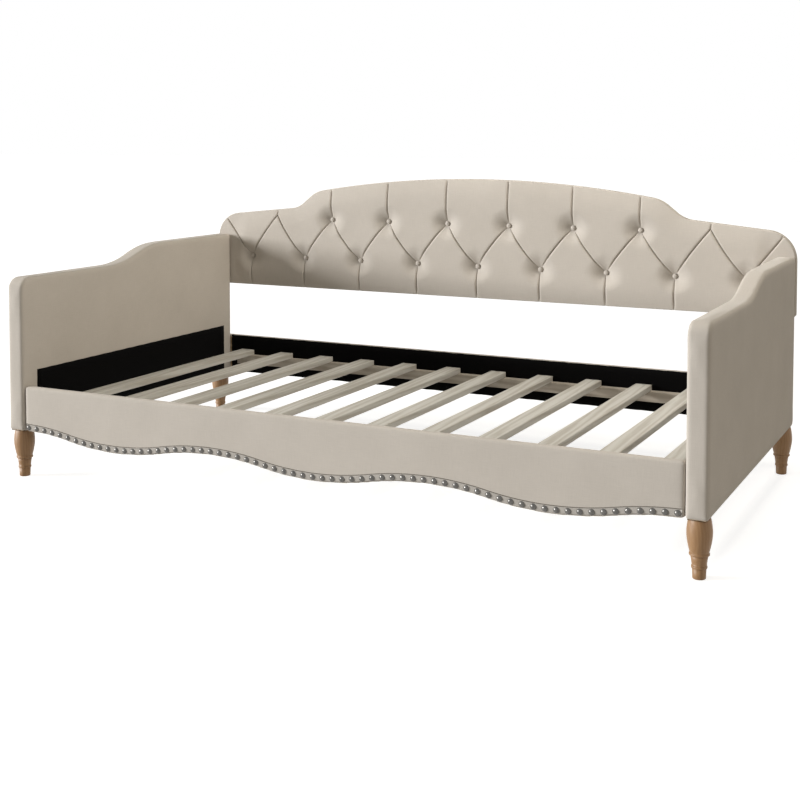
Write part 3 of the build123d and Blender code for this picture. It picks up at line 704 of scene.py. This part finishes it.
class Tufting:
    """Pleats, buttons and border of the panel as named points and lines between them."""

    def __init__(self):
        low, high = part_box("back_tufted_pad")
        self.front, self.rear = low.y, high.y
        pitch = (high.x - TUFT_MARGIN) / LOWER_REACH
        lower, upper = low.z + LOWER_ROW, low.z + LOWER_ROW + ROW_SPACING
        self.tufts = {}
        for k in range(-LOWER_REACH, LOWER_REACH + 1):
            self.tufts["low", k] = (k * pitch, lower)
        for j in np.arange(-LOWER_REACH + 0.5, LOWER_REACH):
            shoulder = abs(j) > LOWER_REACH - 1
            self.tufts["up", j] = (j * pitch, upper + (SHOULDER_TUFT_LIFT if shoulder else 0.0))
        self.buttons = [p for (row, i), p in self.tufts.items() if row == "low" or abs(i) < LOWER_REACH - 1]
        self.border = self.make_border()
        self.lines = self.make_lines()
        self.border_tree = point_tree(self.border)
        pleats = np.concatenate([resample(line, FINE_STEP) for line in self.lines.values()])
        self.pleat_tree = point_tree(pleats)

    def make_border(self):
        """Closed counter-clockwise border, drawn in by the edge's roll."""
        half = panel_half_outline()
        over = np.concatenate([half[::-1], (half * (-1, 1))[1:]])
        low_left, low_right = over[-1], over[0]
        loop = np.concatenate([over, np.linspace(low_left, low_right, 400)[1:-1]])
        loop = resample(np.concatenate([loop, loop[:1]]), FINE_STEP)[:-1]
        return loop + inward_normals(loop) * PANEL_EDGE

    def border_index(self, place):
        return int(np.argmin(np.linalg.norm(self.border - np.asarray(place), axis=1)))

    def make_lines(self):
        """Every pleat as a line of points, by the names of its two ends."""
        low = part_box("back_tufted_pad")[0]
        ends = {}
        for (row, i), (x, z) in self.tufts.items():
            if row == "low":
                ends["foot", i] = self.border_index((x, low.z))
            else:
                above = (np.abs(self.border[:, 0] - x) < 2 * FINE_STEP) & (self.border[:, 1] > z)
                ends["top", i] = self.border_index(self.border[above][0])
        for sign in (-1, 1):
            ends["corner", sign] = self.border_index((sign * CORNER_PLEAT[0], CORNER_PLEAT[1]))
        self.ends = ends
        lines = {}
        for (row, i), place in self.tufts.items():
            if row == "up":
                lines[("up", i), ("top", i)] = bowed(place, self.border[ends["top", i]], 0.0)
                continue
            lines[("low", i), ("foot", i)] = bowed(place, self.border[ends["foot", i]], 0.0)
            for j in (i - 0.5, i + 0.5):
                bow = FALLING_BOW if j < i else RISING_BOW
                if ("up", j) in self.tufts:
                    lines[("low", i), ("up", j)] = bowed(place, self.tufts["up", j], bow)
                else:
                    sign = int(np.sign(i))
                    lines[("low", i), ("corner", sign)] = bowed(place, self.border[ends["corner", sign]], 0.0)
        return lines

    def sink(self, places):
        """How deep the fabric lies behind the flat front at each place."""
        places = np.asarray(places)
        pleat = distances(self.pleat_tree, places)
        button = np.min([np.linalg.norm(places - b, axis=1) for b in self.buttons], axis=0)
        border = distances(self.border_tree, places)
        inner = np.clip(pleat / PLEAT_ROLL, 0.0, 1.0)
        roll = PLEAT_DEPTH * (1.0 - np.sqrt(1.0 - (1.0 - inner) ** 2))
        roll += CREASE_DEPTH * np.exp(-(pleat / CREASE_REACH) ** 2)
        roll *= EDGE_PLEAT + (1.0 - EDGE_PLEAT) * np.clip(border / EDGE_PLEAT_REACH, 0.0, 1.0)
        free = np.clip((PAD_CROWN_END - np.abs(places[:, 0])) / PAD_CROWN_FADE, 0.0, 1.0)
        free = free * free * (3.0 - 2.0 * free)
        edge = (1.0 - np.clip(border / PAD_CROWN_REACH, 0.0, 1.0)) ** 2
        crown = EDGE_SINK * edge - PAD_CROWN * free * (1.0 - edge)
        share = np.clip((button - DIMPLE_FLOOR) / (DIMPLE_REACH - DIMPLE_FLOOR), 0.0, 1.0)
        pull = (1.0 - share) ** DIMPLE_POWER
        return DIMPLE_DEPTH * pull + (crown + roll) * (1.0 - pull)

    def span(self, first, last):
        """Border points from one named end to another, counter-clockwise, ends included."""
        start, end = self.ends[first], self.ends[last]
        if end <= start:
            end += len(self.border)
        return resample(self.border[np.arange(start, end + 1) % len(self.border)], PLEAT_STEP)

    def path(self, *stops):
        """Closed loop through named points, along the pleats between them or else along the border."""
        loop = []
        for first, last in zip(stops, stops[1:] + stops[:1]):
            if (first, last) in self.lines:
                points = resample(self.lines[first, last], PLEAT_STEP)
            elif (last, first) in self.lines:
                points = resample(self.lines[last, first], PLEAT_STEP)[::-1]
            else:
                points = self.span(first, last)
            loop += list(points[:-1])
        return np.array(loop)

    def cells(self):
        """Loops of all pillows, counter-clockwise."""
        reach = LOWER_REACH
        for k in range(-reach, reach):
            j = k + 0.5
            yield self.path(("foot", k), ("foot", k + 1), ("low", k + 1), ("up", j), ("low", k))
        for k in range(-reach + 1, reach):
            yield self.path(("top", k + 0.5), ("top", k - 0.5), ("up", k - 0.5), ("low", k), ("up", k + 0.5))
        edge = reach - 0.5
        yield self.path(("foot", reach), ("corner", 1), ("low", reach))
        yield self.path(("corner", -1), ("foot", -reach), ("low", -reach))
        yield self.path(("corner", 1), ("top", edge), ("up", edge), ("low", reach))
        yield self.path(("top", -edge), ("corner", -1), ("low", -reach), ("up", -edge))


def build_panel():
    """Tufted cover: one pillow per cell of the lattice, and a border that rolls over the edge to the back."""
    tufting = Tufting()
    points, faces = [], []
    for loop in tufting.cells():
        centre = loop.mean(axis=0)
        offset, count = len(points), len(loop)
        for share in PILLOW_RINGS:
            ring = loop + (centre - loop) * share
            points += [(x, tufting.front + d, z) for (x, z), d in zip(ring, tufting.sink(ring))]
        points.append((centre[0], tufting.front + tufting.sink([centre])[0], centre[1]))
        tip = offset + len(PILLOW_RINGS) * count
        for row in range(len(PILLOW_RINGS) - 1):
            base = offset + row * count
            faces += [[base + i, base + (i + 1) % count, base + count + (i + 1) % count, base + count + i]
                      for i in range(count)]
        base = tip - count
        faces += [[base + i, base + (i + 1) % count, tip] for i in range(count)]
    border_points, border_faces = panel_border(tufting)
    faces += [[len(points) + i for i in face] for face in border_faces]
    points += border_points
    panel = add_piece("tufted_back", points, faces, "beige_linen", "back_tufted_pad")
    apply_modifier(panel, "WELD", merge_threshold=0.0002)
    adopt(panel, "beige_linen")
    return tufting


def panel_border(tufting):
    """Roll over the panel's edge, its side and its flat back."""
    order = sorted(tufting.ends, key=lambda name: tufting.ends[name])
    loop = np.concatenate([tufting.span(a, b)[:-1] for a, b in zip(order, order[1:] + order[:1])])
    out = -inward_normals(loop)
    sink = tufting.sink(loop)
    depth = tufting.rear - tufting.front
    bends = np.linspace(0.0, math.pi / 2, 6)
    profile = [(PANEL_EDGE * math.sin(a), PANEL_EDGE * (1 - math.cos(a)), math.cos(a)) for a in bends]
    profile += [(PANEL_EDGE, depth * 0.5, 0.0)]
    profile += [(PANEL_EDGE * math.cos(a), depth - PANEL_EDGE * 0.4 * (1 - math.sin(a)), 0.0) for a in bends]
    profile += [(-BACK_LAP, depth, 0.0)]
    rings = []
    for reach, back, fade in profile:
        drawn = np.full(len(loop), reach)
        if reach > 0 and back < depth * 0.4:
            drawn = reach - sink * 0.3 * math.sqrt(1 - fade ** 2)
        ring = loop + out * drawn[:, None]
        rings.append([(x, tufting.front + back + s * fade, z) for (x, z), s in zip(ring, sink)])
    points = [point for ring in rings for point in ring]
    faces = [face[::-1] for face in closed_strip(rings)]
    count = len(loop)
    faces.append([len(points) - count + i for i in range(count)])
    return points, faces


def build_buttons(tufting):
    """Fabric-covered buttons that pull the panel in, each drawn tight over a dome."""
    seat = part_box("tuft_buttons")[1].y
    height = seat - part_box("tuft_buttons")[0].y
    radius, rim = BUTTON_RADIUS, BUTTON_RIM
    profile = [(radius * 0.9, -0.002), (radius, rim * 0.5), (radius, rim)]
    rise = height - rim
    profile += [(radius * math.cos(a), rim + rise * math.sin(a)) for a in np.linspace(0.2, 1.5, 7)]
    places = [(x, seat, z) for x, z in tufting.buttons]
    points, faces = repeat(turned(profile, BUTTON_SIDES), places)
    add_piece("tuft_button_set", points, faces, "beige_linen", "tuft_buttons")


# Linings


def welded_copy(name, node_name, slot):
    """Thin cloth with the outline of its node, its seams joined into one closed mesh."""
    solid = frame["nodes"][node_name].data
    piece = add_piece(name, read_points(solid), [face.vertices for face in solid.polygons], slot, node_name)
    apply_modifier(piece, "WELD", merge_threshold=0.00005)
    adopt(piece, slot)
    piece.data.set_sharp_from_angle(angle=math.radians(30))
    return piece


def stretched_cloth(name, node_name, slot):
    """Rectangular lining: a thin slab on the node's place, eased back between the staples of its borders."""
    low, high = [np.array(corner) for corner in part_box(node_name)]
    thin = int(np.argmin(high - low))
    wide, tall = [axis for axis in range(3) if axis != thin]
    counts = [max(2, int((high - low)[axis] / CLOTH_CELL)) for axis in (wide, tall)]
    across = np.linspace(low[wide], high[wide], counts[0] + 1)
    up = np.linspace(low[tall], high[tall], counts[1] + 1)
    layers = []
    for side in (low[thin], high[thin]):
        grid = np.zeros((len(across), len(up), 3))
        grid[..., wide] = across[:, None]
        grid[..., tall] = up[None, :]
        grid[..., thin] = side
        for axis, others in ((wide, up), (tall, across)):
            turns = (others - others[0]) / STAPLE_PITCH
            wave = STAPLE_EASING * (0.5 - 0.5 * np.cos(2 * math.pi * turns))
            if axis == wide:
                grid[0, :, axis] += wave
                grid[-1, :, axis] -= wave
            else:
                grid[:, 0, axis] += wave
                grid[:, -1, axis] -= wave
        layers.append(grid.reshape(-1, 3))
    rows, columns = len(across), len(up)
    points = np.concatenate(layers)
    size = rows * columns
    faces = []
    for i in range(rows - 1):
        for j in range(columns - 1):
            a, b = i * columns + j, (i + 1) * columns + j
            faces += [[a, b, b + 1, a + 1], [size + a, size + a + 1, size + b + 1, size + b]]
    rim = [i * columns for i in range(rows)] + [(rows - 1) * columns + j for j in range(1, columns)]
    rim += [i * columns + columns - 1 for i in range(rows - 2, -1, -1)] + list(range(columns - 2, 0, -1))
    for a, b in zip(rim, rim[1:] + rim[:1]):
        faces.append([b, a, size + a, size + b])
    return add_piece(name, points, faces, slot, node_name)


def build_linings():
    """Black lining cloths inside the bed and under the arms, and the cloth on the panel's back."""
    plan = {"arm_lining_left": ("arm_liner_left", stretched_cloth, ["arm_upholstery_left"]),
            "arm_lining_right": ("arm_liner_right", stretched_cloth, ["arm_upholstery_right"]),
            "back_rail_lining": ("back_rail_liner", stretched_cloth, ["back_rail_upholstery"]),
            "arm_underside_left": ("arm_bottom_cloth_left", welded_copy, ["arm_upholstery_left"]),
            "arm_underside_right": ("arm_bottom_cloth_right", welded_copy, ["arm_upholstery_right"]),
            "front_rail_lining": ("front_rail_liner", welded_copy, ["front_rail_upholstery"]),
            "panel_back_cloth": ("back_rear_cloth", welded_copy, ["tufted_back"])}
    slots = {row["node"]: row["material_slot"] for row in frame["record"]["subparts"]}
    for name, (node_name, make, under) in plan.items():
        piece = make(name, node_name, slots[node_name])
        low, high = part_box(node_name)
        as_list(under)


# Legs

# Radius and height of each ring, in millimetres
LEG_PROFILE = (
    (13.9, 0.0), (15.4, 1.5), (15.6, 8.0), (16.1, 22.4), (15.3, 23.0), (15.3, 24.3), (17.9, 24.6),
    (18.3, 25.4), (18.3, 29.4), (17.9, 30.0), (17.1, 30.2), (17.6, 36.0), (18.6, 44.0), (19.9, 51.4),
    (19.1, 52.0), (19.1, 53.5), (22.2, 53.8), (23.4, 54.8), (23.8, 57.0), (23.3, 59.2), (22.2, 60.0),
    (21.9, 60.6), (23.0, 64.0), (24.6, 70.0), (26.6, 79.0), (28.4, 89.0), (29.5, 98.0), (29.75, 105.0),
    (29.5, 113.0), (28.6, 122.0), (27.2, 131.0), (25.8, 137.6), (25.2, 138.7), (24.0, 139.0),
)
LEG_SIDES = 48


def build_legs():
    """Turned legs: straight foot, foot ring, tapered neck, waist ring and belly."""
    form, faces = turned([(r / 1000, h / 1000) for r, h in LEG_PROFILE], LEG_SIDES)
    for end in ("front", "back"):
        for side in ("left", "right"):
            low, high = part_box(f"leg_{end}_{side}")
            middle = (low + high) / 2
            points = form + np.array([middle.x, middle.y, 0.0])
            add_piece(f"turned_leg_{end}_{side}", points, faces, "leg_wood", f"leg_{end}_{side}")


# Carried-over nodes


def finish_nodes():
    """Give every node that still shows the finish of its slot."""
    for row in frame["record"]["subparts"]:
        shown = frame["nodes"][row["node"]]
        shown.data.materials.clear()
        along_bed = row["node"].endswith("ledger")
        shown.data.materials.append(LEDGER_PINE if along_bed else finishes[row["material_slot"]])


# Studio


def background_ray(tree):
    """One for rays that the camera, a reflection or a clear piece sends to the background, else nought."""
    ray = node(tree, "LightPath", {})
    seen = maths(tree, "MAXIMUM", ray["Is Camera Ray"], ray["Is Glossy Ray"])
    return maths(tree, "MAXIMUM", seen, ray["Is Transmission Ray"])


def build_floor():
    """Pale floor that stays white to the horizon and keeps a soft shadow."""
    mesh = bpy.data.meshes.new("floor")
    reach = FLOOR_REACH
    corners = [(-reach, -reach, 0), (reach, -reach, 0), (reach, reach, 0), (-reach, reach, 0)]
    mesh.from_pydata(corners, [], [(0, 1, 2, 3)])
    floor = bpy.data.objects.new("floor", mesh)
    bpy.context.scene.collection.objects.link(floor)
    material = bpy.data.materials.new("floor")
    material.use_nodes = True
    tree = material.node_tree
    tree.nodes.clear()
    place = node(tree, "NewGeometry", {})["Position"]
    distance = node(tree, "VectorMath", {0: place}, operation="LENGTH")["Value"]
    spread = node(tree, "MapRange", {0: distance, 1: FLOOR_NEAR, 2: FLOOR_FAR,
                                     3: FLOOR_GLOW_NEAR, 4: FLOOR_GLOW_FAR})[0]
    strength = maths(tree, "MULTIPLY", background_ray(tree), spread)
    glow = node(tree, "Emission", {"Color": (1, 1, 1, 1), "Strength": strength})[0]
    matt = node(tree, "BsdfDiffuse", {"Color": (FLOOR_GREY, FLOOR_GREY, FLOOR_GREY, 1)})[0]
    both = node(tree, "AddShader", {0: glow, 1: matt})[0]
    node(tree, "OutputMaterial", {"Surface": both})
    mesh.materials.append(material)


def build_world():
    """White surroundings for the camera and reflections, an even soft fill for the rest."""
    world = bpy.data.worlds.new("studio")
    world.use_nodes = True
    tree = world.node_tree
    tree.nodes.clear()
    white = node(tree, "Background", {"Color": (1, 1, 1, 1), "Strength": 1.0})[0]
    fill = node(tree, "Background", {"Color": FILL_COLOUR, "Strength": FILL})[0]
    both = node(tree, "MixShader", {0: background_ray(tree), 1: fill, 2: white})[0]
    node(tree, "OutputWorld", {"Surface": both})
    bpy.context.scene.world = world


def area_lamp(name, place, target, size, power, colour):
    """Rectangular lamp at a place, turned towards a target."""
    lamp = bpy.data.lights.new(name, "AREA")
    lamp.shape = "RECTANGLE"
    lamp.color = colour
    lamp.size, lamp.size_y = size
    lamp.energy = power
    shown = bpy.data.objects.new(name, lamp)
    shown.location = place
    shown.rotation_euler = (Vector(target) - Vector(place)).to_track_quat("-Z", "Y").to_euler()
    bpy.context.scene.collection.objects.link(shown)


def build_camera():
    """Camera of the photo."""
    camera = bpy.data.cameras.new("camera")
    camera.sensor_width = SENSOR_WIDTH
    camera.lens = FOCAL_PIXELS / PHOTO_WIDTH * SENSOR_WIDTH
    camera.shift_y = CAMERA_SHIFT
    shown = bpy.data.objects.new("camera", camera)
    shown.location = CAMERA_PLACE
    shown.rotation_euler = (math.pi / 2 - CAMERA_TILT, 0.0, CAMERA_AZIMUTH)
    bpy.context.scene.collection.objects.link(shown)
    bpy.context.scene.camera = shown


build_camera()
build_floor()
build_world()
for lamp_name, lamp_facts in LAMPS.items():
    area_lamp(lamp_name, *lamp_facts)
bpy.context.scene.view_settings.view_transform = "Standard"

finish_nodes()
build_arms()
build_rails()
build_band()
build_nails()
build_buttons(build_panel())
build_linings()
build_legs()
